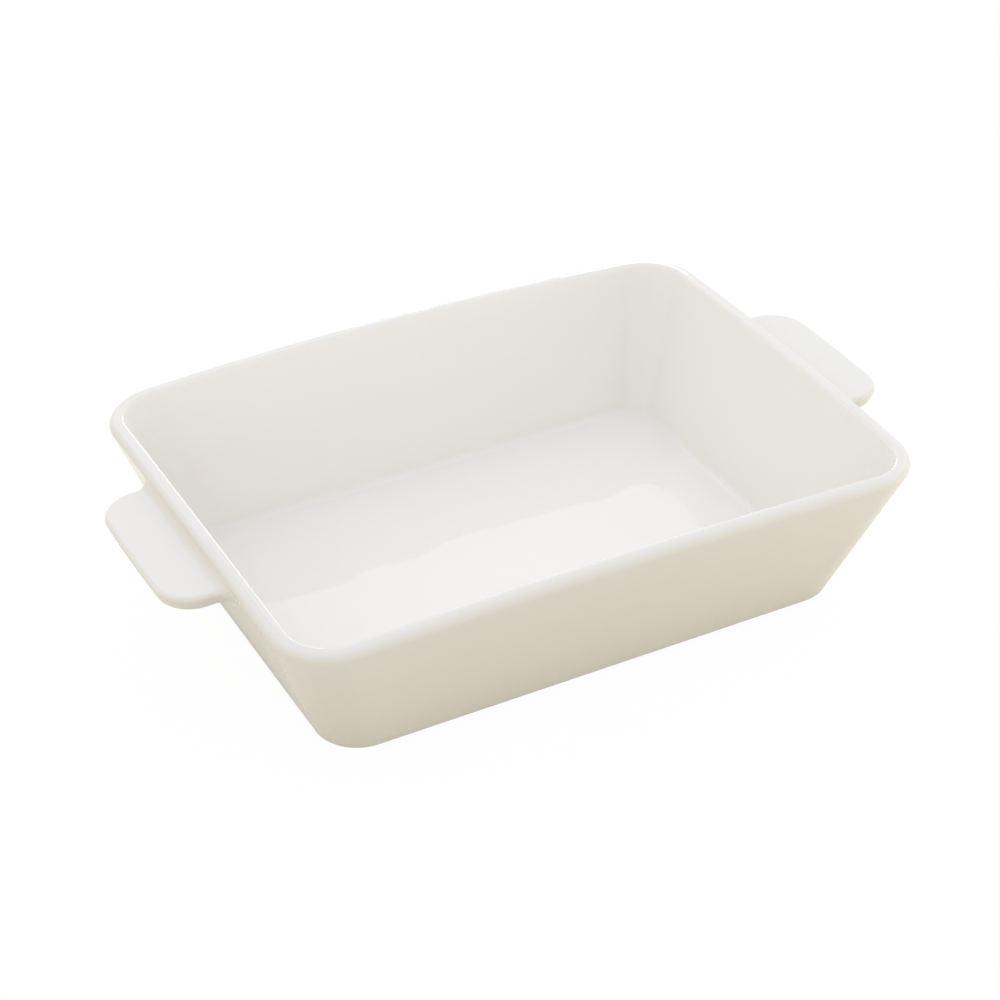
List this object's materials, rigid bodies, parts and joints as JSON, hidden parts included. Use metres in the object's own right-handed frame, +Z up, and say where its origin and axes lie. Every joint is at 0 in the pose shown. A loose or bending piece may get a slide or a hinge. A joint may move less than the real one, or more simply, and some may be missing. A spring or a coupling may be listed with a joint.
{
  "type": "lasagna dish",
  "caption": "Deep rectangular oven dish of cream glazed stoneware, walls leaning out to a soft domed rim, with flat tab handles on the short sides and a bare foot ring.",
  "frame": {"origin": "middle of the ground plane that the foot ring stands on", "axes": "+X along the length towards the right handle, +Y across towards the far long wall, +Z up"},
  "size_m": [0.3494, 0.2246, 0.0765],
  "materials": {
    "cream_glaze": "gloss",
    "bare_stoneware": "matt"
  },
  "bodies": {
    "root": {"dish_body": "cream_glaze", "handle_left": "cream_glaze", "handle_right": "cream_glaze", "foot_ring": "bare_stoneware"}
  },
  "joints": []
}
